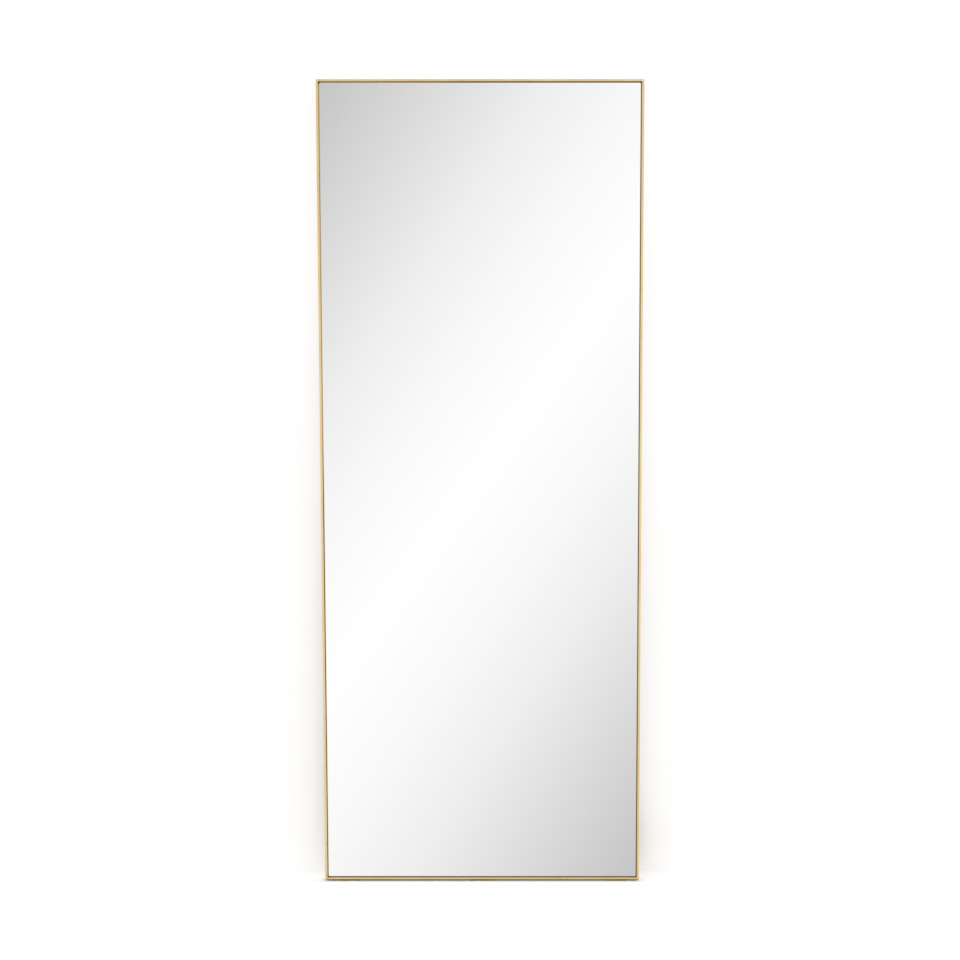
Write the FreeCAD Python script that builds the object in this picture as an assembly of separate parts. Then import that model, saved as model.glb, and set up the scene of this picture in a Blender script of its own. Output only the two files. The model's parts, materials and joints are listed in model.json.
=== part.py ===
import FreeCAD, Part
import math
import os

# A tall floor mirror in a slim welded metal frame, in millimetres.
# X runs to the right as seen from the front, Y runs back towards the wall and Z runs up.
# The origin is on the floor, in the middle of the mirror's width and depth.
# Left and right are as seen from the front.

# Frame: four lengths of flat bar on edge, mitred, welded and ground
frame_width = 800.0
frame_height = 2000.0
bar_face = 6.0
bar_depth = 25.0
frame_corner_radius = 4.0
weld_fillet_radius = 1.5
edge_ease = 0.8

# Glass, set back in the frame with a sealed gap round its edge
glass_recess = 5.0
glass_thickness = 5.0
glass_corner_radius = 4.0
glass_arris = 0.6
edge_gap = 1.0
seal_set_back = 1.0

# Film, tape and board behind the glass
film_thickness = 0.2
film_margin = 2.0
tape_thickness = 1.0
tape_width = 25.0
tape_count = 5
tape_end_margin = 40.0
board_thickness = 9.0
board_clearance = 1.0
board_corner_radius = 3.0
board_chamfer = 1.0

# Steel plates welded to the bars, flat on the board's back
plate_thickness = 2.0
gusset_leg = 75.0
gusset_tip = 12.0
gusset_weld_relief = 7.0
gusset_screw_inset = 36.0
tab_length = 32.0
tab_reach = 26.0
tab_clip = 5.0
tab_screw_reach = 15.0
stile_bays = 4
tabs_per_stile = 2
hanger_plate_length = 96.0
hanger_plate_reach = 56.0
hanger_plate_clip = 8.0

# Screws
screw_radius = 2.0
screw_clearance = 0.1
screw_bite = 7.5
pilot_end_gap = 0.5
screw_head_radius = 3.9
screw_head_height = 2.3

# Hanger: a doubled strap rolled round the straight bar of a wire ring
ring_wire_radius = 2.0
ring_side_play = 0.5
ring_bend_radius = 4.0
ring_arm_length = 4.0
ring_bend_steps = 3
ring_arc_steps = 6
ring_wire_flats = 10
ring_running_clearance = 0.05
ring_rest_gap = 0.3
strap_width = 22.0
strap_sheet = 1.2
strap_length = 62.0
strap_end_radius = 8.0
strap_joggle_radius = 2.0
strap_first_hole = 34.0
strap_hole_pitch = 18.0

# Rubber: bumpers that touch the wall, pads that stand on the floor
bumper_stand_off = 6.0
bumper_radius = 8.0
bumper_inset = 17.0
pad_thickness = 2.5
pad_length = 60.0
pad_width = 19.0
pad_inset = 60.0

# Layers from front to back
front = -(bar_depth + bumper_stand_off) / 2
frame_back = front + bar_depth
wall = frame_back + bumper_stand_off
glass_front = front + glass_recess
glass_back = glass_front + glass_thickness
film_back = glass_back + film_thickness
board_front = film_back + tape_thickness
board_back = board_front + board_thickness
plate_back = board_back + plate_thickness
seal_front = glass_front + seal_set_back

# Outlines seen from the front
foot = pad_thickness
head = foot + frame_height
middle = (foot + head) / 2
half_frame = frame_width / 2
half_opening = half_frame - bar_face
opening_low = foot + bar_face
opening_high = head - bar_face
half_glass = half_opening - edge_gap
glass_low = opening_low + edge_gap
glass_high = opening_high - edge_gap

# Hanger: heights above the plate it is screwed to, and depths below the ring's axis
knuckle_bore = ring_wire_radius + ring_running_clearance
knuckle_radius = knuckle_bore + strap_sheet
strap_surface = 2 * strap_sheet
ring_bar_half = strap_width / 2 + ring_side_play
ring_arc_radius = ring_bar_half + ring_bend_radius
ring_arc_centre = ring_bend_radius + ring_arm_length
ring_over_strap = ring_arc_centre + math.sqrt(ring_arc_radius ** 2 - (strap_width / 2) ** 2)
ring_lift = strap_surface + ring_wire_radius + ring_rest_gap - knuckle_radius
ring_rest_angle = math.degrees(math.asin(ring_lift / ring_over_strap))
ring_axis_y = plate_back + knuckle_radius
hanger_x = half_opening - hanger_plate_reach / 2
hanger_plate_middle = foot + frame_height * (tabs_per_stile + 1) / stile_bays
ring_axis_z = hanger_plate_middle + strap_length / 2

# How far a cutting shape runs past what it cuts
spill = 1.0
backward = FreeCAD.Vector(0, 1, 0)
sides = {"left": -1, "right": 1}
ends = {"bottom": -1, "top": 1}


def point(x, y, z):
    return FreeCAD.Vector(x, y, z)


def plate(outline, y_front, y_back):
    """A flat upright plate from the x, z corners of its outline."""
    corners = [point(x, y_front, z) for x, z in outline]
    face = Part.Face(Part.makePolygon(corners + corners[:1]))
    return face.extrude(backward * (y_back - y_front))


def panel(half_width, low, high, y_front, y_back, corner_radius):
    """An oblong plate, centred on the mirror's width, with rounded corners."""
    outline = [(-half_width, low), (half_width, low), (half_width, high), (-half_width, high)]
    blank = plate(outline, y_front, y_back)
    return blank.makeFillet(corner_radius, edges_along(blank, backward))


def edges_along(shape, direction):
    return [edge for edge in shape.Edges if abs(edge.tangentAt(0).dot(direction)) > 0.99]


def rim(shape, y):
    """The edges of a shape that lie in the upright plane at y."""
    return [edge for edge in shape.Edges if all(abs(corner.Point.y - y) < 1e-4 for corner in edge.Vertexes)]


def drill(x, z, y_front, y_back, radius):
    """The round hole along Y that a screw passes through."""
    return Part.makeCylinder(radius, y_back - y_front, point(x, y_front, z), backward)


# ---------------------------------------------------------------- frame and edge seal

def mitre_wedges():
    """The four wedges that part a ring into its sides at 45 degrees."""
    reach = bar_face + edge_gap + glass_corner_radius + spill
    corners = [(-1, 1), (1, 1), (1, -1), (-1, -1)]
    wedges = {}
    for number, side in enumerate(("top", "right", "bottom", "left")):
        start = corners[number]
        end = corners[(number + 1) % 4]
        outline = []
        for (across, up), offset in ((start, reach), (end, reach), (end, -reach), (start, -reach)):
            x = across * (half_frame + offset)
            z = middle + up * (frame_height / 2 + offset)
            outline.append(point(x, front - spill, z))
        face = Part.Face(Part.makePolygon(outline + outline[:1]))
        wedges[side] = face.extrude(backward * (wall - front + 2 * spill))
    return wedges


def frame_ring():
    """The welded bars as one ring, with rounded outer corners, weld fillets and eased edges."""
    body = panel(half_frame, foot, head, front, frame_back, frame_corner_radius)
    opening = panel(half_opening, opening_low, opening_high, front - spill, frame_back + spill,
                    weld_fillet_radius)
    ring = body.cut(opening)
    return ring.makeChamfer(edge_ease, rim(ring, front) + rim(ring, frame_back))


def seal_ring():
    """The black sealant between the bars and the edge of the glass, down to the board."""
    filled = panel(half_opening, opening_low, opening_high, seal_front, board_front, weld_fillet_radius)
    glass = panel(half_glass, glass_low, glass_high, seal_front - spill, board_front + spill,
                  glass_corner_radius)
    return filled.cut(glass)


# ---------------------------------------------------------------- glass, film, tape and board

def mirror_glass():
    glass = panel(half_glass, glass_low, glass_high, glass_front, glass_back, glass_corner_radius)
    return glass.makeChamfer(glass_arris, rim(glass, glass_front) + rim(glass, glass_back))


def safety_film():
    width = 2 * (half_glass - film_margin)
    height = glass_high - glass_low - 2 * film_margin
    return Part.makeBox(width, film_thickness, height, point(-width / 2, glass_back, glass_low + film_margin))


def mounting_tape():
    """Upright foam strips, evenly spaced, that hold the glass to the board."""
    pitch = 2 * half_glass / tape_count
    strips = []
    for number in range(tape_count):
        x = (number - (tape_count - 1) / 2) * pitch
        length = glass_high - glass_low - 2 * tape_end_margin
        corner = point(x - tape_width / 2, film_back, glass_low + tape_end_margin)
        strips.append(Part.makeBox(tape_width, tape_thickness, length, corner))
    return Part.makeCompound(strips)


def backing_board(screw_places):
    board = panel(half_opening - board_clearance, opening_low + board_clearance,
                  opening_high - board_clearance, board_front, board_back, board_corner_radius)
    board = board.makeChamfer(board_chamfer, rim(board, board_back))
    hole_front = board_back - screw_bite - pilot_end_gap
    pilots = [drill(x, z, hole_front, board_back + spill, screw_radius + screw_clearance)
              for x, z in screw_places]
    return board.cut(Part.makeCompound(pilots))


# ---------------------------------------------------------------- plates welded to the bars

def drilled(blank, places):
    """A welded plate with its screw holes."""
    holes = [drill(x, z, board_back - spill, plate_back + spill, screw_radius + screw_clearance)
             for x, z in places]
    return blank.cut(Part.makeCompound(holes))


def in_corner(side, end, across, along):
    """The x, z place at two distances from the bars that meet in a corner."""
    x = side * (half_opening - across)
    z = opening_high - along if end > 0 else opening_low + along
    return x, z


def gusset_screw_place(side, end):
    return in_corner(side, end, gusset_screw_inset, gusset_screw_inset)


def gusset(side, end):
    """A corner plate, cut back at the corner to clear the weld and blunt at its tips."""
    outline = [
        (gusset_weld_relief, 0),
        (gusset_leg, 0),
        (gusset_leg, gusset_tip),
        (gusset_tip, gusset_leg),
        (0, gusset_leg),
        (0, gusset_weld_relief),
    ]
    placed = [in_corner(side, end, across, along) for across, along in outline]
    return drilled(plate(placed, board_back, plate_back), [gusset_screw_place(side, end)])


def on_stile(side, height):
    """Places beside a stile, from a distance in from the bar and one up from a height."""
    return lambda inward, up: (side * (half_opening - inward), height + up)


def on_rail(end):
    """Places beside the middle of a rail, from a distance in from the bar and one to the right."""
    edge = opening_high if end > 0 else opening_low
    return lambda inward, right: (right, edge - end * inward)


def lug(place, reach, length, clip, screws):
    """A plate welded to a bar by one edge, with its two free corners clipped."""
    half = length / 2
    outline = [
        (0, -half),
        (reach - clip, -half),
        (reach, clip - half),
        (reach, half - clip),
        (reach - clip, half),
        (0, half),
    ]
    placed = [place(inward, along) for inward, along in outline]
    return drilled(plate(placed, board_back, plate_back), screws)


def tab(place):
    return lug(place, tab_reach, tab_length, tab_clip, [place(tab_screw_reach, 0)])


def stile_tab_heights():
    return [foot + frame_height * bay / stile_bays for bay in range(1, tabs_per_stile + 1)]


def hanger_screw_places(side):
    """Where a hanger is screwed down, through its strap and plate."""
    return [(side * hanger_x, ring_axis_z - strap_first_hole - number * strap_hole_pitch)
            for number in range(2)]


def hanger_plate(side):
    place = on_stile(side, hanger_plate_middle)
    return lug(place, hanger_plate_reach, hanger_plate_length, hanger_plate_clip, hanger_screw_places(side))


# ---------------------------------------------------------------- hangers

def strap_section(x):
    """The strap's section across X: back layer, roll round the ring, joggle and front layer."""
    knuckle = point(x, ring_axis_y, ring_axis_z)
    reach = knuckle_radius + strap_joggle_radius
    joggle_rise = strap_surface + strap_joggle_radius - knuckle_radius
    joggle_drop = math.sqrt(reach ** 2 - joggle_rise ** 2)
    joggle = knuckle + point(0, joggle_rise, -joggle_drop)
    roll_end = knuckle + (joggle - knuckle) * (knuckle_radius / reach)
    half_way = (roll_end - joggle).normalize() - backward
    joggle_middle = joggle + half_way.normalize() * strap_joggle_radius
    joggle_end = joggle - backward * strap_joggle_radius
    low = ring_axis_z - strap_length
    back_top = point(x, plate_back, ring_axis_z)
    back_low = point(x, plate_back, low)
    front_low = point(x, plate_back + strap_surface, low)
    roll_top = knuckle + point(0, 0, knuckle_radius)
    outline = [
        Part.LineSegment(back_low, back_top),
        Part.Arc(back_top, roll_top, roll_end),
        Part.Arc(roll_end, joggle_middle, joggle_end),
        Part.LineSegment(joggle_end, front_low),
        Part.LineSegment(front_low, back_low),
    ]
    return Part.Face(Part.Wire([edge.toShape() for edge in outline]))


def hanger_strap(side):
    x = side * hanger_x - strap_width / 2
    strap = strap_section(x).extrude(point(strap_width, 0, 0))
    low = ring_axis_z - strap_length
    low_corners = [edge for edge in edges_along(strap, backward) if edge.CenterOfMass.z < low + spill]
    strap = strap.makeFillet(strap_end_radius, low_corners)
    bore_start = point(x - spill, ring_axis_y, ring_axis_z)
    bore = Part.makeCylinder(knuckle_bore, strap_width + 2 * spill, bore_start, point(1, 0, 0))
    holes = [drill(hole_x, hole_z, plate_back - spill, plate_back + strap_surface + spill,
                   screw_radius + screw_clearance) for hole_x, hole_z in hanger_screw_places(side)]
    return strap.cut(Part.makeCompound([bore] + holes))


def turn(centre, radius, start, steps):
    """Points round a quarter turn in the ring's plane, clockwise from a start angle in degrees."""
    angles = [math.radians(start - 90 * step / steps) for step in range(1, steps + 1)]
    return [centre + point(math.cos(angle), 0, math.sin(angle)) * radius for angle in angles]


def half_loop():
    """Half of a ring's loop: out of the straight bar, round the bend, down the arm and round the arc."""
    bar_end = point(ring_bar_half, 0, 0)
    path = [bar_end - point(spill, 0, 0), bar_end]
    path += turn(point(ring_bar_half, 0, -ring_bend_radius), ring_bend_radius, 90, ring_bend_steps)
    path.append(point(ring_arc_radius, 0, -ring_arc_centre))
    path += turn(point(0, 0, -ring_arc_centre), ring_arc_radius, 0, ring_arc_steps)
    corners = []
    for flat in range(ring_wire_flats):
        angle = 2 * math.pi * flat / ring_wire_flats
        corners.append(path[0] + point(0, math.cos(angle), math.sin(angle)) * ring_wire_radius)
    section = Part.Wire(Part.makePolygon(corners + corners[:1]))
    mitred_corners = 1
    return Part.makePolygon(path).makePipeShell([section], True, False, mitred_corners)


def d_ring(side):
    """A wire ring that hangs folded down over its strap; its straight bar turns in the strap."""
    bar = Part.makeCylinder(ring_wire_radius, 2 * ring_bar_half, point(-ring_bar_half, 0, 0), point(1, 0, 0))
    right_half = half_loop()
    left_half = right_half.mirror(point(0, 0, 0), point(1, 0, 0))
    ring = bar.fuse([right_half, left_half]).removeSplitter().Solids[0]
    ring.rotate(point(0, 0, 0), point(1, 0, 0), ring_rest_angle)
    ring.translate(point(side * hanger_x, ring_axis_y, ring_axis_z))
    return ring


# ---------------------------------------------------------------- screws and rubber

def screw(x, z, seat):
    """A flat-headed screw that seats at y = seat and bites into the board."""
    tip = board_back - screw_bite
    shank = Part.makeCylinder(screw_radius, seat - tip, point(x, tip, z), backward)
    screw_head = Part.makeCylinder(screw_head_radius, screw_head_height, point(x, seat, z), backward)
    return shank.fuse(screw_head)


def wall_bumper(side, end):
    """A round rubber bumper stuck to a gusset; it stands clear of the frame's back."""
    x, z = in_corner(side, end, bumper_inset, bumper_inset)
    return Part.makeCylinder(bumper_radius, wall - plate_back, point(x, plate_back, z), backward)


def floor_pad(x):
    """A rubber strip stuck under the bottom rail, set in from the rail's front and back."""
    corner = point(x - pad_length / 2, front + (bar_depth - pad_width) / 2, 0)
    return Part.makeBox(pad_length, pad_width, pad_thickness, corner)


# ---------------------------------------------------------------- the whole mirror

def build():
    nodes = {}
    frame = frame_ring()
    seal = seal_ring()
    bar_names = {"top": "top_rail", "right": "right_stile", "bottom": "bottom_rail", "left": "left_stile"}
    for side, wedge in mitre_wedges().items():
        nodes["frame_" + bar_names[side]] = frame.common(wedge)
        nodes["edge_seal_" + side] = seal.common(wedge)

    nodes["mirror_glass"] = mirror_glass()
    nodes["safety_film"] = safety_film()
    nodes["mounting_tape"] = mounting_tape()

    plate_screws = []
    for end_name, end in ends.items():
        nodes["tab_" + end_name + "_rail"] = tab(on_rail(end))
        plate_screws.append(on_rail(end)(tab_screw_reach, 0))
        for side_name, side in sides.items():
            nodes["gusset_" + end_name + "_" + side_name] = gusset(side, end)
            plate_screws.append(gusset_screw_place(side, end))
        bumpers = [wall_bumper(side, end) for side in sides.values()]
        nodes["wall_bumpers_" + end_name] = Part.makeCompound(bumpers)

    hanger_screws = []
    for side_name, side in sides.items():
        places = [on_stile(side, height) for height in stile_tab_heights()]
        nodes["tabs_" + side_name + "_stile"] = Part.makeCompound([tab(place) for place in places])
        plate_screws += [place(tab_screw_reach, 0) for place in places]
        nodes["hanger_plate_" + side_name] = hanger_plate(side)
        nodes["hanger_strap_" + side_name] = hanger_strap(side)
        nodes["d_ring_" + side_name] = d_ring(side)
        hanger_screws += hanger_screw_places(side)

    strap_back = plate_back + strap_surface
    nodes["board_screws"] = Part.makeCompound([screw(x, z, plate_back) for x, z in plate_screws])
    nodes["hanger_screws"] = Part.makeCompound([screw(x, z, strap_back) for x, z in hanger_screws])
    nodes["backing_board"] = backing_board(plate_screws + hanger_screws)

    pad_reach = half_frame - pad_inset
    for name, x in (("left", -pad_reach), ("middle", 0), ("right", pad_reach)):
        nodes["floor_pad_" + name] = floor_pad(x)
    return nodes


os.makedirs("parts", exist_ok=True)
for name, shape in build().items():
    shape.exportStep("parts/" + name + ".step")
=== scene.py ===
import json
import math

import bmesh
import bpy
from mathutils import Matrix, Vector


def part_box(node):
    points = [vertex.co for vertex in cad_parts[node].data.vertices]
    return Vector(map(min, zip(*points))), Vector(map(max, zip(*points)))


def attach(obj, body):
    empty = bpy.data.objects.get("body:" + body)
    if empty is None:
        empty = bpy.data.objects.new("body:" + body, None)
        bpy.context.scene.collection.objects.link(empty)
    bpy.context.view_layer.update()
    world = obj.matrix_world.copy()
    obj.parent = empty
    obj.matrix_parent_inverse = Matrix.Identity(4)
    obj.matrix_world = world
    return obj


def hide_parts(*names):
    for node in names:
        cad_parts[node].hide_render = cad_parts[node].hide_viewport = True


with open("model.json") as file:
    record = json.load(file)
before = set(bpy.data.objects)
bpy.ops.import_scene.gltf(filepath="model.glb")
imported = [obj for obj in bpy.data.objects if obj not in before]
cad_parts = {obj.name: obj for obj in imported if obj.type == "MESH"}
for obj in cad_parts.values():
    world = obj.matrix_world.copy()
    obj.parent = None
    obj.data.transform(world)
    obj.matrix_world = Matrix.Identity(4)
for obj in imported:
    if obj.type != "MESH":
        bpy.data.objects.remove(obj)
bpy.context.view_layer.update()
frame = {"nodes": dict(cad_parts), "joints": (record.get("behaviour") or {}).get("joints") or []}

# The looks of a tall floor mirror in a slim brass-plated frame, in metres.
# X runs to the right as seen from the front, Y runs back towards the wall and Z runs up.

mm = 0.001
RIGHT = Vector((1, 0, 0))
BACK = Vector((0, 1, 0))
UP = Vector((0, 0, 1))

bar_face = 6 * mm
stile_low, stile_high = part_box("frame_right_stile")
front = stile_low.y
frame_back = stile_high.y
half_frame = stile_high.x
foot = stile_low.z
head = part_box("frame_top_rail")[1].z
half_opening = half_frame - bar_face
opening_low = foot + bar_face
opening_high = head - bar_face


# ---------------------------------------------------------------- shader maths

def paint(red, green, blue):
    """A display colour, each part 0 to 255, as the linear colour that a shader takes."""
    shares = [part / 255 for part in (red, green, blue)]
    linear = [share / 12.92 if share <= 0.04045 else ((share + 0.055) / 1.055) ** 2.4 for share in shares]
    return (*linear, 1.0)


class Field:
    """A number, colour or vector that varies over a surface, with arithmetic on numbers."""

    def __init__(self, nodes, socket):
        self.nodes = nodes
        self.socket = socket

    def __add__(self, other):
        return self.nodes.math("ADD", self, other)

    def __radd__(self, other):
        return self.nodes.math("ADD", other, self)

    def __sub__(self, other):
        return self.nodes.math("SUBTRACT", self, other)

    def __rsub__(self, other):
        return self.nodes.math("SUBTRACT", other, self)

    def __mul__(self, other):
        return self.nodes.math("MULTIPLY", self, other)

    def __rmul__(self, other):
        return self.nodes.math("MULTIPLY", other, self)

    def __abs__(self):
        return self.nodes.math("ABSOLUTE", self)


class Nodes:
    """The nodes of one material or of the world."""

    def __init__(self, tree):
        self.tree = tree
        tree.nodes.clear()

    def add(self, kind, settings=None, sockets=None, output=0):
        """A node of a kind, with its settings made first, then its sockets' values or links."""
        node = self.tree.nodes.new("ShaderNode" + kind)
        for name, value in (settings or {}).items():
            if name == "stops":
                self.set_stops(node.color_ramp, value)
            else:
                setattr(node, name, value)
        for name, value in (sockets or {}).items():
            if isinstance(value, Field):
                self.tree.links.new(value.socket, node.inputs[name])
            else:
                node.inputs[name].default_value = value
        return Field(self, node.outputs[output]) if node.outputs else None

    def set_stops(self, ramp, stops):
        while len(ramp.elements) < len(stops):
            ramp.elements.new(1.0)
        for element, (place, level) in zip(ramp.elements, stops):
            element.position = place
            element.color = (level, level, level, 1.0)

    def math(self, operation, *values):
        return self.add("Math", {"operation": operation}, dict(enumerate(values)))

    def between(self, mask, under, over):
        """Colour under where mask is 0 and over where it is 1; the Mix node's colours go by number."""
        return self.add("Mix", {"data_type": "RGBA"}, {"Factor": mask, 6: under, 7: over}, output=2)

    def ease(self, value, low, high):
        """0 below low, 1 above high and smooth between."""
        return self.add("MapRange", {"interpolation_type": "SMOOTHSTEP"},
                        {"Value": value, "From Min": low, "From Max": high})

    def place(self):
        """Where a point is on the mirror at rest, in metres."""
        return self.add("TexCoord", output="Object")

    def part(self, vector, axis):
        return self.add("SeparateXYZ", sockets={"Vector": vector}, output=axis)

    def stretched(self, vector, scale):
        return self.add("VectorMath", {"operation": "MULTIPLY"}, {0: vector, 1: scale})

    def noise(self, vector, scale, detail=3.0, roughness=0.55):
        return self.add("TexNoise", sockets={"Vector": vector, "Scale": scale, "Detail": detail,
                                             "Roughness": roughness})

    def cells(self, vector, scale):
        """Distance to the nearest of scattered points."""
        return self.add("TexVoronoi", sockets={"Vector": vector, "Scale": scale}, output="Distance")

    def from_edges(self, place, half_width, low, high):
        """Distances to the nearer side and to the nearer end of an upright panel."""
        height = self.part(place, "Z")
        return half_width - abs(self.part(place, "X")), self.math("MINIMUM", height - low, high - height)

    def bump(self, height, depth, strength=1.0):
        """The slant of a surface whose height runs from 0 to depth metres."""
        return self.add("Bump", sockets={"Height": height, "Distance": depth, "Strength": strength})


def finish(name, recipe, *details):
    """A material whose recipe takes the nodes and returns the shader's sockets."""
    material = bpy.data.materials.new(name)
    material.use_nodes = True
    nodes = Nodes(material.node_tree)
    shader = nodes.add("BsdfPrincipled", sockets=recipe(nodes, *details))
    nodes.add("OutputMaterial", sockets={"Surface": shader})
    return material


# ---------------------------------------------------------------- finishes

WHITE = paint(255, 255, 255)
BLACK = paint(0, 0, 0)
BRASS_LIGHT = paint(255, 233, 181)
BRASS_DEEP = paint(252, 221, 164)
BRASS_TARNISH = paint(204, 164, 104)


def brushed_brass(nodes, grain, inner_shade):
    """Brass plating over bar brushed along its length; grain holds small numbers along the brush.

    The faces towards the glass are darkened by a share set for each bar, as painted shade, and the
    bar's lowest edge is darkened brown next to the floor, as painted shade.
    """
    place = nodes.place()
    height = nodes.part(place, "Z")
    past_stile = abs(nodes.part(place, "X")) - half_opening
    past_rail = nodes.math("MAXIMUM", opening_low - height, height - opening_high)
    # Painted shade: the faces towards the glass are darkened by each bar's share.
    inner = 1 - nodes.ease(nodes.math("MAXIMUM", past_stile, past_rail), 0.1 * mm, 1.0 * mm)
    # Painted shade: the bar's lowest few millimetres are darkened brown next to the floor.
    lowest = nodes.ease(height, foot + 3.2 * mm, foot + 1.0 * mm)
    cloud = nodes.noise(place, 9.0, 4.0)
    streak = nodes.noise(nodes.stretched(place, grain), 1.0, 4.0, 0.7)
    lines = nodes.noise(nodes.stretched(place, [6 * share for share in grain]), 1.0, 2.0)
    tarnish = nodes.ease(nodes.noise(place, 45.0, 5.0), 0.58, 0.8)
    colour = nodes.between(nodes.ease(cloud * 0.6 + streak * 0.4, 0.36, 0.64), BRASS_LIGHT, BRASS_DEEP)
    colour = nodes.between(tarnish * 0.25, colour, BRASS_TARNISH)
    colour = nodes.between(lowest * 0.9, colour, paint(138, 100, 38))
    return {
        "Base Color": nodes.between(inner * inner_shade, colour, paint(140, 110, 66)),
        "Metallic": 1.0,
        "Roughness": 0.34 + streak * 0.14 + tarnish * 0.1,
        "Normal": nodes.bump(streak * 0.6 + lines * 0.4, 0.02 * mm, 0.5),
    }


def plated_sheet(nodes):
    """Plates cut from sheet steel and plated with the frame: rolled grain, faint pits and rub marks."""
    place = nodes.place()
    cloud = nodes.noise(place, 35.0, 4.0)
    grain = nodes.noise(nodes.stretched(place, (300, 1500, 1500)), 1.0, 3.0)
    pits = nodes.ease(nodes.noise(place, 1500.0, 2.0), 0.66, 0.76)
    rubs = nodes.ease(nodes.noise(nodes.stretched(place, (60, 60, 900)), 1.0, 2.0), 0.64, 0.76)
    colour = nodes.between(nodes.ease(cloud, 0.3, 0.7), paint(232, 206, 156), paint(218, 189, 137))
    colour = nodes.between(pits * 0.5, colour, paint(156, 126, 82))
    return {
        "Base Color": nodes.between(rubs * 0.3, colour, paint(243, 223, 182)),
        "Metallic": 1.0,
        "Roughness": 0.34 + cloud * 0.12 + pits * 0.2 - rubs * 0.06,
        "Normal": nodes.bump(grain - pits * 0.6, 0.02 * mm, 0.5),
    }


def plated_weld(nodes):
    """Weld bead under the plating: rougher, and darker in random patches."""
    place = nodes.place()
    cloud = nodes.noise(place, 160.0, 4.0)
    grit = nodes.noise(place, 2400.0, 3.0)
    colour = nodes.between(nodes.ease(cloud, 0.3, 0.7), paint(222, 192, 140), paint(176, 144, 94))
    return {
        "Base Color": colour,
        "Metallic": 1.0,
        "Roughness": 0.3 + cloud * 0.25,
        "Normal": nodes.bump(grit, 0.04 * mm, 0.6),
    }


def pale_highlight_upper_left(nodes, place, low, high):
    """1 along the upper half of the mirror's left side, where a pale brass highlight is painted, else 0."""
    half_way = (low + high) / 2
    upper = nodes.ease(nodes.part(place, "Z"), half_way - 0.1, half_way + 0.2)
    return upper * nodes.ease(nodes.part(place, "X"), 0.0, -0.2)


def silvered_glass(nodes, half_width, low, high):
    """Silvered float glass: a clean mirror with a thin green cast at its ground edge.

    A painted reflection of the shaded brass bar browns its first millimetres, more along the sides than
    at the ends and least on the upper left.
    """
    place = nodes.place()
    to_side, to_end = nodes.from_edges(place, half_width, low, high)
    edge = 1 - nodes.ease(nodes.math("MINIMUM", to_side, to_end), 0.3 * mm, 0.9 * mm)
    # Painted reflection of the shaded brass bar along the glass's rim.
    rim_side = nodes.ease(to_side, 2.4 * mm, 0.4 * mm) * (1 - pale_highlight_upper_left(nodes, place, low, high) * 0.9)
    rim_end = nodes.ease(to_end, 1.6 * mm, 0.4 * mm) * 0.4
    rim = nodes.math("MAXIMUM", rim_side, rim_end)
    colour = nodes.between(edge, paint(249, 250, 249), paint(176, 190, 180))
    haze = nodes.noise(place, 2.5, 3.0)
    dust = nodes.ease(nodes.noise(place, 900.0, 2.0), 0.74, 0.8)
    return {
        "Base Color": nodes.between(rim * 0.8, colour, paint(174, 144, 92)),
        "Metallic": 1.0,
        "Roughness": 0.006 + haze * 0.008 + edge * 0.25 + dust * 0.02,
    }


def black_sealant(nodes, half_width, low, high):
    """Tooled silicone, wavy along its bead: satin bronze-black, a tint that stands in for the shaded brass
    beside it, with painted shade darkest where it fills the corners.

    A painted pale brass highlight lies on the upper half of its left run.
    """
    place = nodes.place()
    wave = nodes.noise(place, 120.0, 3.0)
    skin = nodes.noise(place, 1800.0, 2.0)
    from_corner = nodes.math("MAXIMUM", *nodes.from_edges(place, half_width, low, high))
    # Painted shade: darkest in the corners, fading out by 8 mm from them.
    along = nodes.ease(from_corner, 3 * mm, 8 * mm)
    # The bronze tint is painted shade of the brass beside the bead.
    colour = nodes.between(nodes.ease(wave, 0.3, 0.7), paint(76, 56, 24), paint(102, 78, 36))
    # Painted highlight: pale brass on the upper half of the left run.
    colour = nodes.between(pale_highlight_upper_left(nodes, place, low, high), colour, paint(226, 202, 156))
    return {
        "Base Color": nodes.between(along, paint(26, 20, 12), colour),
        "Roughness": 0.4 + wave * 0.2,
        "Specular IOR Level": 0.3,
        "Normal": nodes.bump(wave * 0.8 + skin * 0.2, 0.2 * mm, 0.7),
    }


def safety_film(nodes):
    """Milky film stuck on the silvering, with fine creases and trapped air."""
    place = nodes.place()
    crease = nodes.noise(nodes.stretched(place, (30, 30, 6)), 1.0, 4.0)
    air = nodes.ease(nodes.cells(place, 260.0), 0.12, 0.03)
    return {
        "Base Color": nodes.between(air, paint(205, 209, 211), paint(228, 231, 232)),
        "Roughness": 0.28 + crease * 0.2,
        "Normal": nodes.bump(crease, 0.1 * mm, 0.5),
    }


def foam_tape(nodes):
    """Open-celled mounting foam."""
    place = nodes.place()
    pores = nodes.ease(nodes.cells(place, 2200.0), 0.1, 0.5)
    return {
        "Base Color": nodes.between(pores, paint(58, 58, 58), paint(86, 86, 85)),
        "Roughness": 0.9 - pores * 0.1,
        "Normal": nodes.bump(pores, 0.2 * mm, 0.8),
    }


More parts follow.
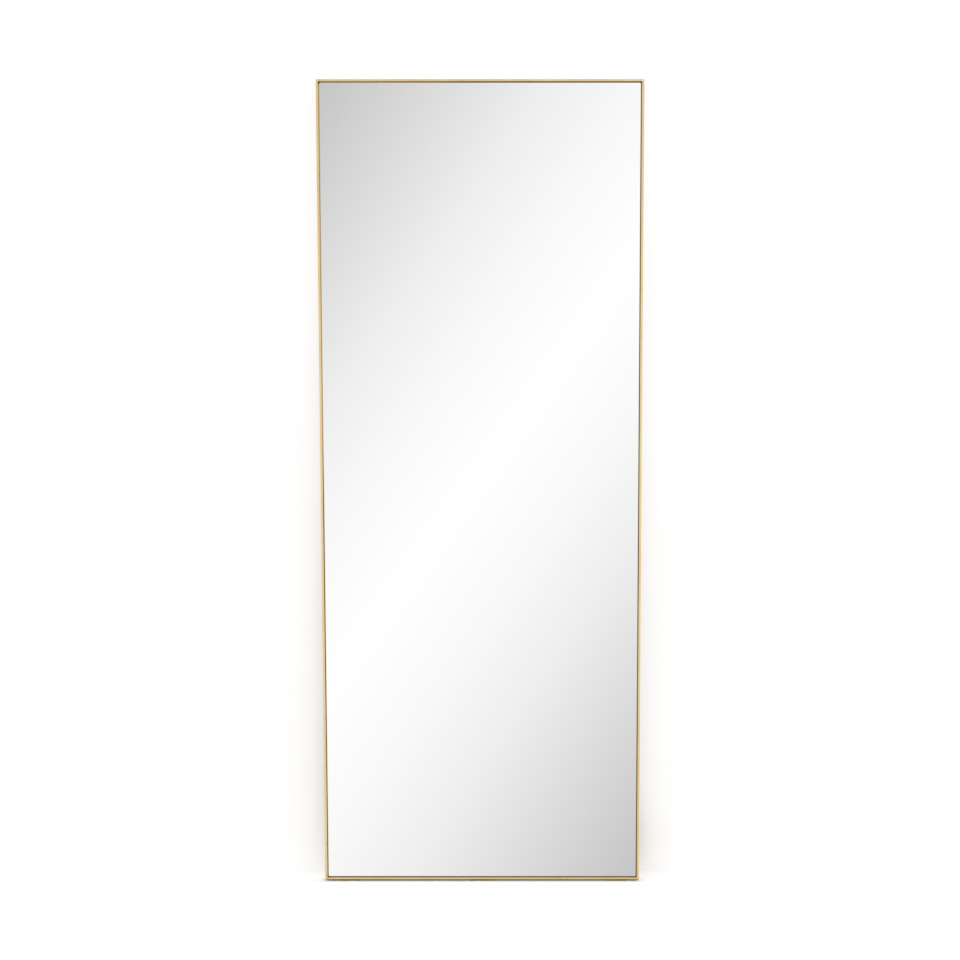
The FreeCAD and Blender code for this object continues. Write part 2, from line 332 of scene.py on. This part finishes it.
def painted_board(nodes, half_width, low, high):
    """Fibreboard rolled with black paint: roller stipple, faint scuffs, brown core at rubbed edges."""
    place = nodes.place()
    stipple = nodes.noise(place, 700.0, 4.0, 0.6)
    cloud = nodes.noise(place, 5.0, 4.0)
    scuffs = nodes.ease(nodes.noise(nodes.stretched(place, (26, 26, 4)), 1.0, 5.0, 0.65), 0.63, 0.76)
    to_edge = nodes.math("MINIMUM", *nodes.from_edges(place, half_width, low, high))
    patches = nodes.ease(nodes.noise(place, 60.0, 4.0), 0.5, 0.62)
    rubbed = (1 - nodes.ease(to_edge, 0.3 * mm, 1.8 * mm)) * patches
    colour = nodes.between(nodes.ease(cloud, 0.35, 0.65), paint(38, 37, 36), paint(50, 48, 46))
    colour = nodes.between(scuffs * 0.45, colour, paint(86, 82, 76))
    return {
        "Base Color": nodes.between(rubbed * 0.8, colour, paint(122, 92, 62)),
        "Roughness": 0.62 + cloud * 0.12 - scuffs * 0.15,
        "Normal": nodes.bump(stipple - scuffs * 0.3, 0.12 * mm, 0.7),
    }


def zinc(nodes, bright, dull, spangle):
    """Zinc plating: cool grey with a soft cloud and a faint yellow passivate."""
    place = nodes.place()
    cloud = nodes.noise(place, spangle, 3.0)
    grain = nodes.noise(nodes.stretched(place, (900, 900, 260)), 1.0, 3.0)
    passivate = nodes.ease(nodes.noise(place, spangle * 0.7, 2.0), 0.5, 0.75)
    colour = nodes.between(nodes.ease(cloud, 0.35, 0.65), bright, dull)
    return {
        "Base Color": nodes.between(passivate * 0.3, colour, paint(212, 204, 172)),
        "Metallic": 1.0,
        "Roughness": 0.24 + cloud * 0.16 + grain * 0.06,
        "Normal": nodes.bump(grain, 0.015 * mm, 0.5),
    }


def moulded_rubber(nodes, dust):
    """Matt black rubber with the mould's fine spark grain, a grey bloom and a given share of tan floor
    dust, which on the pads also stands in for the brass-tinted shade under the rail, as painted shade.
    """
    place = nodes.place()
    grain = nodes.noise(place, 2600.0, 3.0)
    bloom = nodes.noise(place, 90.0, 4.0)
    colour = nodes.between(nodes.ease(bloom, 0.4, 0.7), paint(32, 32, 33), paint(54, 54, 55))
    return {
        "Base Color": nodes.between(nodes.ease(bloom, 0.2, 0.5) * dust, colour, paint(150, 128, 90)),
        "Roughness": 0.66 + bloom * 0.16,
        "Normal": nodes.bump(grain, 0.06 * mm, 0.7),
    }


# ---------------------------------------------------------------- meshes

def skin(rows, joined=False):
    """Points and faces of a closed surface through rows of points, each row a closed loop."""
    count = len(rows[0])
    points = [spot for row in rows for spot in row]
    faces = []
    for number in range(len(rows) if joined else len(rows) - 1):
        near = number * count
        far = (number + 1) % len(rows) * count
        for step in range(count):
            after = (step + 1) % count
            faces.append((near + step, near + after, far + after, far + step))
    if not joined:
        faces.append(tuple(range(count)))
        faces.append(tuple(range(len(points) - count, len(points))))
    return points, faces


def together(shapes):
    """Several shapes as one."""
    points = []
    faces = []
    for more_points, more_faces in shapes:
        start = len(points)
        points += more_points
        faces += [tuple(start + corner for corner in face) for face in more_faces]
    return points, faces


def moved(shape, matrix):
    points, faces = shape
    return [matrix @ Vector(spot) for spot in points], faces


def mesh_of(name, shape, normals=None, sharp_above=40):
    """A smooth-shaded mesh, with normals given point by point or else sharp above an angle in degrees."""
    points, faces = shape
    mesh = bpy.data.meshes.new(name)
    mesh.from_pydata(points, [], faces)
    form = bmesh.new()
    form.from_mesh(mesh)
    bmesh.ops.recalc_face_normals(form, faces=form.faces)
    form.to_mesh(mesh)
    form.free()
    mesh.shade_smooth()
    if normals:
        mesh.normals_split_custom_set_from_vertices(normals)
    else:
        mesh.set_sharp_from_angle(angle=math.radians(sharp_above))
    return mesh


def piece(name, mesh, material, body, slot, *nodes):
    """A finished piece that rides on a body and stands for CAD nodes."""
    made = bpy.data.objects.new(name, mesh)
    bpy.context.scene.collection.objects.link(made)
    mesh.materials.append(material)
    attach(made, body)
    if nodes:
        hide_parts(*nodes)


def circle(centre, across, along, radius, sides):
    """A ring of points about a centre, from two directions at right angles."""
    angles = [2 * math.pi * side / sides for side in range(sides)]
    return [centre + (across * math.cos(angle) + along * math.sin(angle)) * radius for angle in angles]


def turned(profile, sides):
    """A turned shape about +Y from (radius, height) pairs."""
    return skin([circle(BACK * height, RIGHT, UP, radius, sides) for radius, height in profile])


def quarter(steps):
    """Angles from 0 to a quarter turn."""
    return [math.pi / 2 * step / steps for step in range(steps + 1)]


# ---------------------------------------------------------------- frame bars

outer_radius = 4 * mm
weld_radius = 1.5 * mm
bar_ease = 1.0 * mm
ease_steps = 4
corner_steps = 12
middle = (foot + head) / 2
half_height = (head - foot) / 2


def corner_stations(across, up, start):
    """Round one corner clockwise: the outward direction and the points on the outer and inner outlines."""
    stations = []
    for step in range(corner_steps + 1):
        angle = math.radians(start) - math.pi / 2 * step / corner_steps
        outward = Vector((math.cos(angle), 0, math.sin(angle)))
        spots = []
        for inset, radius in ((0, outer_radius), (bar_face, weld_radius)):
            centre = Vector((across * (half_frame - inset - radius), 0,
                             middle + up * (half_height - inset - radius)))
            spots.append(centre + outward * radius)
        stations.append((outward, *spots))
    return stations


def bar_section(outward, outer, inner):
    """The bar's section at a station, with eased edges, as points and their normals."""
    spots = []
    normals = []
    edges = (
        (outer, outward, front, -BACK, False),
        (inner, -outward, front, -BACK, True),
        (inner, -outward, frame_back, BACK, False),
        (outer, outward, frame_back, BACK, True),
    )
    for base, sideways, depth, endways, backwards in edges:
        angles = quarter(ease_steps)
        for angle in reversed(angles) if backwards else angles:
            normal = sideways * math.cos(angle) + endways * math.sin(angle)
            spot = base - sideways * bar_ease - endways * bar_ease + normal * bar_ease
            spots.append(spot + BACK * depth)
            normals.append(normal)
    return spots, normals


def frame_bars():
    """Four mitred bars, each drawn from the middle of one rounded corner to the middle of the next."""
    corners = [corner_stations(1, 1, 90), corner_stations(1, -1, 0), corner_stations(-1, -1, -90),
               corner_stations(-1, 1, 180)]
    half = corner_steps // 2
    along_rail = (25, 5000, 5000)
    along_stile = (5000, 5000, 25)
    # Each bar's last number is its share of painted shade on the faces towards the glass, set by how light
    # falls there.
    bars = (("right_stile", along_stile, 0.5), ("bottom_rail", along_rail, 0.8),
            ("left_stile", along_stile, 0.2), ("top_rail", along_rail, 0.6))
    for number, (name, grain, inner_shade) in enumerate(bars):
        stations = corners[number][half:] + corners[(number + 1) % 4][:half + 1]
        sections = [bar_section(*station) for station in stations]
        normals = [normal for section in sections for normal in section[1]]
        mesh = mesh_of(name, skin([section[0] for section in sections]), normals)
        material = finish("brushed brass " + name, brushed_brass, grain, inner_shade)
        piece("bar_" + name, mesh, material, "mirror", "brass_bar", "frame_" + name)


# ---------------------------------------------------------------- welds

weld_leg = 2.2 * mm
weld_ripple = 1.5 * mm
weld_steps_per_ripple = 5
weld_arc_steps = 6
tab_weld = 22 * mm
gusset_weld = 34 * mm
hanger_weld = 25 * mm
hanger_weld_places = (0.24, 0.76)
tab_half_length = 16 * mm
plate_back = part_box("gusset_top_left")[1].y


def weld_bead(start, direction, away, length):
    """A rippled fillet weld from a start, along a direction, in the corner that opens away and back."""
    ripples = round(length / weld_ripple)
    count = ripples * weld_steps_per_ripple
    rows = []
    for step in range(count + 1):
        share = step / count
        taper = min(1.0, 4 * math.sqrt(max(share * (1 - share), 0.002)))
        row = [start + direction * (length * share)]
        for number in range(weld_arc_steps + 1):
            angle = math.pi / 2 * number / weld_arc_steps
            lag = 0.35 * math.sin(2 * angle)
            phase = share * ripples + lag
            swell = 0.84 + 0.16 * abs(math.sin(math.pi * phase))
            reach = weld_leg * taper * swell * (0.8 + 0.2 * abs(math.cos(2 * angle)))
            row.append(row[0] + (away * math.cos(angle) + BACK * math.sin(angle)) * reach)
        rows.append(row)
    return skin(rows)


def stitch(seam_middle, direction, away, length):
    """A weld bead centred on a seam."""
    return weld_bead(seam_middle - direction * (length / 2), direction, away, length)


def welds():
    """Short stitch welds where each plate meets its bar."""
    beads = []
    for end, rail in ((-1, "bottom"), (1, "top")):
        low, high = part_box("tab_" + rail + "_rail")
        seam_z = low.z if end < 0 else high.z
        beads.append(stitch(Vector((0, plate_back, seam_z)), RIGHT, UP * -end, tab_weld))
        for side, stile in ((-1, "left"), (1, "right")):
            low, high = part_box("gusset_" + rail + "_" + stile)
            inward = RIGHT * -side
            corner = Vector((side * half_opening, plate_back, low.z if end < 0 else high.z))
            to_middle = (high.z - low.z) / 2
            beads.append(stitch(corner - UP * end * to_middle, UP, inward, gusset_weld))
            beads.append(stitch(corner + inward * to_middle, RIGHT, UP * -end, gusset_weld))
    for side, stile in ((-1, "left"), (1, "right")):
        inward = RIGHT * -side
        low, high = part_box("hanger_plate_" + stile)
        for share in hanger_weld_places:
            height = low.z + (high.z - low.z) * share
            beads.append(stitch(Vector((side * half_opening, plate_back, height)), UP, inward, hanger_weld))
        low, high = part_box("tabs_" + stile + "_stile")
        for height in (low.z + tab_half_length, high.z - tab_half_length):
            beads.append(stitch(Vector((side * half_opening, plate_back, height)), UP, inward, tab_weld))
    material = finish("plated weld", plated_weld)
    piece("stitch_welds", mesh_of("stitch_welds", together(beads), sharp_above=80), material, "mirror",
          "brass_plate")


# ---------------------------------------------------------------- hangers

strap_sheet = 1.2 * mm
strap_edge = 0.25 * mm
strap_end_radius = 8 * mm
joggle_radius = 2 * mm
wire_radius = 2 * mm
bend_radius = 4 * mm
arm_length = 4 * mm
strap_straight = 30 * mm
far_from_end = 1.0
roll_steps = 24
joggle_steps = 6
bend_steps = 8
loop_steps = 48
wire_sides = 28
joint_narrowing = 0.93


def strap_path(low_z, knuckle, roll_radius):
    """The strap's middle line in Y and Z: up the plate, round the ring and down over itself.

    Gives places, the directions that face out of the roll, and the distance from the nearer end.
    """
    spots = []
    back_y = knuckle.y - roll_radius
    front_y = back_y + strap_sheet
    joggle_bend = joggle_radius + strap_sheet / 2
    rise = front_y + joggle_bend - knuckle.y
    reach = roll_radius + joggle_bend
    joggle = knuckle + BACK * rise - UP * math.sqrt(reach ** 2 - rise ** 2)
    plan = [strap_end_radius * (1 - math.cos(angle)) for angle in quarter(bend_steps)]
    for distance in plan + [strap_straight]:
        spots.append((Vector((0, back_y, low_z + distance)), -BACK, distance))
    toward_joggle = math.atan2((joggle - knuckle).z, (joggle - knuckle).y)
    for step in range(roll_steps + 1):
        angle = math.pi + (toward_joggle - math.pi) * step / roll_steps
        outward = BACK * math.cos(angle) + UP * math.sin(angle)
        spots.append((knuckle + outward * roll_radius, outward, far_from_end))
    for step in range(1, joggle_steps + 1):
        angle = math.pi + toward_joggle * (1 - step / joggle_steps)
        outward = BACK * math.cos(angle) + UP * math.sin(angle)
        spots.append((joggle + outward * joggle_bend, -outward, far_from_end))
    for distance in [strap_straight] + plan[::-1]:
        spots.append((Vector((0, front_y, low_z + distance)), BACK, distance))
    return spots


def strap_section(spot, outward, distance, width):
    """A sheet's section with eased edges; its width closes in near the strap's rounded end."""
    short = max(strap_end_radius - distance, 0)
    half = width / 2 - strap_end_radius + math.sqrt(strap_end_radius ** 2 - short ** 2)
    spots = []
    normals = []
    for across, sheet_side in ((1, 1), (-1, 1), (-1, -1), (1, -1)):
        angles = quarter(3)
        for angle in angles if across * sheet_side > 0 else reversed(angles):
            normal = RIGHT * across * math.cos(angle) + outward * sheet_side * math.sin(angle)
            corner = RIGHT * across * (half - strap_edge)
            corner = corner + outward * sheet_side * (strap_sheet / 2 - strap_edge)
            spots.append(spot + corner + normal * strap_edge)
            normals.append(normal)
    return spots, normals


def hanger_strap(side_name, knuckle, material):
    """A strap folded over on itself, rolled round the ring's straight bar at the knuckle."""
    low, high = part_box("hanger_strap_" + side_name)
    roll_radius = knuckle.y - low.y - strap_sheet / 2
    middle_x = RIGHT * (low.x + high.x) / 2
    path = strap_path(low.z, Vector((0, knuckle.y, knuckle.z)), roll_radius)
    sections = [strap_section(spot + middle_x, outward, distance, high.x - low.x)
                for spot, outward, distance in path]
    normals = [normal for section in sections for normal in section[1]]
    name = "rolled_strap_" + side_name
    mesh = mesh_of(name, skin([section[0] for section in sections]), normals)
    piece(name, mesh, material, "mirror", "zinc_steel", "hanger_strap_" + side_name)


def ring_path(bar_half):
    """The ring's middle line as places with the direction that faces out of the loop."""
    path = []
    arc_radius = bar_half + bend_radius
    arc_centre = Vector((0, 0, -bend_radius - arm_length))
    for share in (-1, -0.5, 0, 0.5):
        path.append((RIGHT * bar_half * share, UP))
    for angle in quarter(bend_steps):
        outward = RIGHT * math.sin(angle) + UP * math.cos(angle)
        path.append((Vector((bar_half, 0, -bend_radius)) + outward * bend_radius, outward))
    for step in range(loop_steps + 1):
        angle = -math.pi * step / loop_steps
        outward = RIGHT * math.cos(angle) + UP * math.sin(angle)
        path.append((arc_centre + outward * arc_radius, outward))
    for angle in quarter(bend_steps)[:-1]:
        outward = -RIGHT * math.cos(angle) + UP * math.sin(angle)
        path.append((Vector((-bar_half, 0, -bend_radius)) + outward * bend_radius, outward))
    return path


def wire_ring(side_name, knuckle, material):
    """A bent wire ring; where its ends meet, at the foot of the loop, there is a fine joint."""
    low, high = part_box("d_ring_" + side_name)
    bar_half = (high.x - low.x) / 2 - wire_radius - bend_radius
    depth = 2 * bend_radius + arm_length + bar_half
    tilt = math.asin((high.y - wire_radius - knuckle.y) / depth)
    rows = []
    normals = []
    for spot, outward in ring_path(bar_half):
        joint = abs(outward.z + 1) < 1e-6
        radius = wire_radius * (joint_narrowing if joint else 1.0)
        rows.append(circle(spot, outward, BACK, radius, wire_sides))
        normals.append([(corner - spot).normalized() for corner in rows[-1]])
    turn = Matrix.Rotation(tilt, 4, "X")
    shape = moved(skin(rows, joined=True), Matrix.Translation(knuckle) @ turn)
    name = "wire_ring_" + side_name
    mesh = mesh_of(name, shape, [turn @ normal for row in normals for normal in row])
    piece(name, mesh, material, side_name + "_ring", "zinc_steel", "d_ring_" + side_name)


def hangers():
    sheet = finish("zinc strap", zinc, paint(208, 210, 212), paint(188, 191, 195), 260.0)
    wire = finish("zinc wire", zinc, paint(222, 224, 226), paint(190, 193, 197), 220.0)
    for side_name in ("left", "right"):
        joint = next(joint for joint in frame["joints"] if joint["name"] == side_name + "_ring_swing")
        knuckle = Vector(joint["pos_m"])
        hanger_strap(side_name, knuckle, sheet)
        wire_ring(side_name, knuckle, wire)


# ---------------------------------------------------------------- screws

screw_head_radius = 3.9 * mm
screw_head_height = 2.3 * mm
screw_radius = 2 * mm
screw_core = 1.45 * mm
screw_neck = 1.6 * mm
screw_point = (0.1 * mm, 1.3 * mm, 1.6 * mm)
thread_pitch = 1.4 * mm
head_rim = 0.5 * mm
crown_steps = 8
recess_depth = 1.5 * mm
screw_sides = 32
screws_apart = 10 * mm


def screw_profile(length):
    """A screw from its tip, at y = 0, over its thread to the crown of its head."""
    tip_radius, point_radius, point_length = screw_point
    profile = [(tip_radius, 0.0), (point_radius, point_length)]
    height = point_length + 0.3 * mm
    while height < length - thread_pitch:
        profile += [(screw_core, height), (screw_radius, height + 0.4 * thread_pitch),
                    (screw_core, height + 0.8 * thread_pitch)]
        height += thread_pitch
    profile += [(screw_neck, length), (screw_head_radius, length), (screw_head_radius, length + head_rim)]
    crown = screw_head_height - head_rim
    for angle in quarter(crown_steps)[1:-1]:
        profile.append((screw_head_radius - 2.2 * mm * (1 - math.cos(angle)),
                        length + head_rim + crown * math.sin(angle)))
    profile.append((screw_head_radius - 2.6 * mm, length + screw_head_height))
    return profile


def cross_outline(half_arm, half_length):
    """A plus sign's twelve corners."""
    outline = []
    for number in range(4):
        turn = Matrix.Rotation(math.pi / 2 * number, 3, "Y")
        for x, z in ((half_arm, half_arm), (half_length, half_arm), (half_length, -half_arm)):
            outline.append(turn @ Vector((x, 0, z)))
    return outline


def recessed_screw(length):
    """One screw with a cross recess cut into its head, as points and faces."""
    form = turned(screw_profile(length), screw_sides)
    blank = bpy.data.objects.new("screw_blank", mesh_of("screw_blank", form))
    top = length + screw_head_height
    levels = ((0.62 * mm, 2.3 * mm, -0.4 * mm), (0.5 * mm, 1.95 * mm, 0.1 * mm),
              (0.32 * mm, 0.9 * mm, recess_depth))
    rows = []
    for half_arm, half_length, depth in levels:
        outline = cross_outline(half_arm, half_length)
        rows.append([corner + BACK * (top - depth) for corner in outline])
    driver = bpy.data.objects.new("screw_driver", mesh_of("screw_driver", skin(rows)))
    for thing in (blank, driver):
        bpy.context.scene.collection.objects.link(thing)
    cut = blank.modifiers.new("recess", "BOOLEAN")
    cut.object = driver
    cut.operation = "DIFFERENCE"
    cut.solver = "EXACT"
    bpy.context.view_layer.update()
    shaped = bpy.data.meshes.new_from_object(blank.evaluated_get(bpy.context.evaluated_depsgraph_get()))
    points = [vertex.co.copy() for vertex in shaped.vertices]
    faces = [tuple(face.vertices) for face in shaped.polygons]
    for thing in (blank, driver):
        bpy.data.objects.remove(thing)
    return points, faces


def screw_places(node):
    """The x, z centres of the separate screws in a node."""
    found = []
    for vertex in frame["nodes"][node].data.vertices:
        spot = vertex.co.xz
        for spots in found:
            if (spots[0] - spot).length < screws_apart:
                spots.append(spot)
                break
        else:
            found.append([spot])
    places = []
    for spots in found:
        places.append([(min(values) + max(values)) / 2 for values in zip(*spots)])
    return places


def screws():
    """Every screw turned to its own angle, as hand-driven screws end up."""
    material = finish("screw zinc", zinc, paint(214, 214, 212), paint(160, 162, 164), 420.0)
    for node in ("board_screws", "hanger_screws"):
        low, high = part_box(node)
        one = recessed_screw(high.y - low.y - screw_head_height)
        copies = []
        for number, (x, z) in enumerate(screw_places(node)):
            spin = Matrix.Rotation(math.radians(37 * number + 12), 4, "Y")
            copies.append(moved(one, Matrix.Translation((x, low.y, z)) @ spin))
        mesh = mesh_of("recessed_" + node, together(copies), sharp_above=32)
        piece("recessed_" + node, mesh, material, "mirror", "screw_steel", node)


# ---------------------------------------------------------------- rubber

bumper_sides = 48
pad_edge = 0.5 * mm
pad_corner = 3 * mm


def bumper_profile(radius, height):
    """A moulded bumper: flange, tapered wall, rounded lip and a shallow dish in its face."""
    lip = 1.2 * mm
    face_radius = radius - 1.4 * mm
    profile = [(radius - 0.3 * mm, 0.0), (radius, 0.3 * mm), (radius, 1.2 * mm),
               (radius - 0.4 * mm, 1.6 * mm)]
    for angle in quarter(6):
        profile.append((face_radius - lip * (1 - math.cos(angle)), height - lip + lip * math.sin(angle)))
    profile += [(face_radius - 2.2 * mm, height), (face_radius - 2.7 * mm, height - 0.4 * mm)]
    return profile


def rounded_outline(half_x, half_y, radius, steps):
    """A level oblong with rounded corners."""
    outline = []
    for number, (across, deep) in enumerate(((1, 1), (-1, 1), (-1, -1), (1, -1))):
        centre = Vector((across * (half_x - radius), deep * (half_y - radius), 0))
        for step in range(steps + 1):
            angle = math.pi / 2 * (number + step / steps)
            outline.append(centre + Vector((math.cos(angle), math.sin(angle), 0)) * radius)
    return outline


def rubber():
    """Bumpers on the back and pads under the bottom rail."""
    clean = finish("moulded rubber", moulded_rubber, 0.0)
    # The pads' tan dust also stands in for the brass-tinted shade under the rail: painted shade.
    dusty = finish("dusty rubber", moulded_rubber, 0.85)
    for end in ("bottom", "top"):
        node = "wall_bumpers_" + end
        low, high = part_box(node)
        radius = (high.z - low.z) / 2
        one = turned(bumper_profile(radius, high.y - low.y), bumper_sides)
        height = (low.z + high.z) / 2
        pair = [moved(one, Matrix.Translation((side * (high.x - radius), low.y, height)))
                for side in (-1, 1)]
        piece("moulded_bumpers_" + end, mesh_of(node, together(pair), sharp_above=50), clean, "mirror",
              "black_rubber", node)
    for place in ("left", "middle", "right"):
        node = "floor_pad_" + place
        low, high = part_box(node)
        size = high - low
        centre = (low + high) / 2
        rows = []
        for rise, inset in ((0, 1), (0.3, 0.3), (1, 0), (size.z / pad_edge - 1, 0),
                            (size.z / pad_edge - 0.3, 0.3), (size.z / pad_edge, 1)):
            outline = rounded_outline(size.x / 2 - inset * pad_edge, size.y / 2 - inset * pad_edge,
                                      pad_corner - inset * pad_edge, 6)
            spot_level = Vector((centre.x, centre.y, low.z + rise * pad_edge))
            rows.append([spot + spot_level for spot in outline])
        piece("moulded_" + node, mesh_of(node, skin(rows), sharp_above=30), dusty, "mirror",
              "black_rubber", node)


# ---------------------------------------------------------------- finishes of the CAD's own pieces

def dress_nodes():
    """Finishes for the pieces whose CAD form is shown as it is."""
    glass_low, glass_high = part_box("mirror_glass")
    board_low, board_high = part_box("backing_board")
    sealant_low, sealant_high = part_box("edge_seal_right")
    sealant = finish("black sealant", black_sealant, sealant_high.x, sealant_low.z, sealant_high.z)
    sheet = finish("plated sheet", plated_sheet)
    finishes = {
        "edge_seal": sealant,
        "mirror_glass": finish("silvered glass", silvered_glass, glass_high.x, glass_low.z, glass_high.z),
        "safety_film": finish("safety film", safety_film),
        "mounting_tape": finish("foam tape", foam_tape),
        "backing_board": finish("painted board", painted_board, board_high.x, board_low.z, board_high.z),
        "gusset": sheet,
        "tab": sheet,
        "hanger_plate": sheet,
    }
    for name, node in frame["nodes"].items():
        for start, material in finishes.items():
            if name.startswith(start):
                node.data.materials.clear()
                node.data.materials.append(material)


# ---------------------------------------------------------------- camera

picture = 960
sensor = 36.0
focal_pixels = 1100.0
camera_place = (0.1117, -2.7475, 1.2041)
camera_pitch = 3.747
side_shift_pixels = 45.9


def camera():
    """The photographer's place, fitted to the frame's outline in the photo."""
    lens = bpy.data.cameras.new("camera")
    lens.sensor_width = sensor
    lens.lens = focal_pixels / picture * sensor
    lens.shift_x = -side_shift_pixels / picture
    eye = bpy.data.objects.new("camera", lens)
    eye.location = camera_place
    eye.rotation_euler = (math.radians(90 - camera_pitch), 0, 0)
    bpy.context.scene.collection.objects.link(eye)
    bpy.context.scene.camera = eye


# ---------------------------------------------------------------- studio

wall_foot_gap = 0.03
wall_reach = 8.0
wall_height = 5.0
floor_reach = 12.0
full_white = 1.01
wall_light = 0.93
floor_light = 1.48
lamp_spread = 55


def sheet_object(name, corners, material):
    """A flat sheet of the stage, which only the camera sees."""
    mesh = bpy.data.meshes.new(name)
    mesh.from_pydata(corners, [], [tuple(range(len(corners)))])
    mesh.materials.append(material)
    made = bpy.data.objects.new(name, mesh)
    bpy.context.scene.collection.objects.link(made)
    made.visible_diffuse = False
    made.visible_glossy = False
    made.visible_transmission = False
    made.visible_shadow = False


def wall_share(nodes):
    """The wall's shade is fullest at the floor and on the left, and fades towards the mirror's head."""
    place = nodes.place()
    height = nodes.part(place, "Z")
    slant = 1.3 - nodes.ease(nodes.part(place, "X"), -0.5, 0.5) * nodes.ease(height, 0.0, 0.25) * 0.65
    share = 0.76 - nodes.ease(height, 0.0, head) * 0.5 + nodes.ease(height, 0.35, 0.0) * 0.22
    return nodes.math("MINIMUM", share * slant, 1.0)


def floor_share(nodes):
    """The floor's shade is faint before the mirror and full beneath and behind it."""
    return 0.04 + nodes.ease(nodes.part(nodes.place(), "Y"), front - 4 * mm, front + 1 * mm) * 0.59


def studio_white(name, share_of, light, one_sided):
    """White paint seen by the camera: a share of it is lit and takes shadows, and the rest glows.

    The light is what falls on the open surface, so that both together make white.
    """
    material = bpy.data.materials.new(name)
    material.use_nodes = True
    nodes = Nodes(material.node_tree)
    share = share_of(nodes)
    lit = nodes.add("BsdfDiffuse", sockets={"Color": nodes.between(share, BLACK, WHITE)})
    glow = nodes.between(share * (light / full_white), WHITE, BLACK)
    glowing = nodes.add("Emission", sockets={"Color": glow, "Strength": full_white})
    surface = nodes.add("AddShader", sockets={0: lit, 1: glowing})
    if one_sided:
        behind = nodes.add("NewGeometry", output="Backfacing")
        clear = nodes.add("BsdfTransparent")
        surface = nodes.add("MixShader", sockets={0: behind, 1: surface, 2: clear})
    nodes.add("OutputMaterial", sockets={"Surface": surface})
    return material


def backdrop():
    """A level floor, and a wall that the top bumpers touch and that stands off the mirror's foot."""
    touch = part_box("wall_bumpers_top")[1]
    lean = wall_foot_gap / touch.z
    foot_y = touch.y + wall_foot_gap
    head_y = foot_y - lean * wall_height
    wall = [(-wall_reach, foot_y, 0), (wall_reach, foot_y, 0), (wall_reach, head_y, wall_height),
            (-wall_reach, head_y, wall_height)]
    ground = [(-floor_reach, -floor_reach, 0), (floor_reach, -floor_reach, 0),
              (floor_reach, floor_reach, 0), (-floor_reach, floor_reach, 0)]
    sheet_object("wall", wall, studio_white("wall white", wall_share, wall_light, True))
    sheet_object("floor", ground, studio_white("floor white", floor_share, floor_light, False))


def soft_sun(name, strength, height, bearing):
    """A broad soft lamp; bearing 0 shines from the front and 90 from the right, height is in degrees."""
    lamp = bpy.data.lights.new(name, "SUN")
    lamp.energy = strength
    lamp.angle = math.radians(lamp_spread)
    light = bpy.data.objects.new(name, lamp)
    light.rotation_euler = (math.radians(90 - height), 0, math.radians(bearing))
    light.visible_glossy = False
    bpy.context.scene.collection.objects.link(light)


def studio_light():
    """White to the camera, a soft slanting glow in mirrors and metal, and an even light on the rest."""
    world = bpy.data.worlds.new("studio")
    bpy.context.scene.world = world
    world.use_nodes = True
    nodes = Nodes(world.node_tree)
    direction = nodes.add("TexCoord", output="Generated")
    across = nodes.part(direction, "X")
    up = nodes.part(direction, "Z")
    slant = abs(across * 0.81 - up * 0.58 - 0.002)
    stops = ((0.0, 1.0), (0.08, 0.94), (0.15, 0.85), (0.3, 0.56), (0.42, 0.58), (0.6, 0.88), (0.8, 1.12))
    glow = nodes.add("ValToRGB", {"stops": stops}, {"Fac": slant})
    under = nodes.ease(up, -0.43, -0.7)
    above = nodes.ease(up, 0.33, 0.41) * (1 - nodes.ease(up, 0.48, 0.62))
    overhead = nodes.ease(up, 0.55, 0.8)
    reflected = glow * (1 - under * 0.35) * (1 - above * 0.7) * (1 + overhead * 0.6) * 1.05
    sky = 0.62 + nodes.ease(up, -0.6, 0.9) * 0.75
    glossy = nodes.add("LightPath", output="Is Glossy Ray")
    seen = nodes.add("LightPath", output="Is Camera Ray")
    strength = sky * (1 - glossy) + reflected * glossy
    strength = strength * (1 - seen) + seen
    background = nodes.add("Background", sockets={"Color": WHITE, "Strength": strength})
    nodes.add("OutputWorld", sockets={"Surface": background})
    soft_sun("key lamp", 0.15, 45, -45)
    soft_sun("back lamp", 1.0, 42, 158)


frame_bars()
welds()
hangers()
screws()
rubber()
dress_nodes()
camera()
backdrop()
studio_light()
bpy.context.scene.view_settings.view_transform = "Standard"
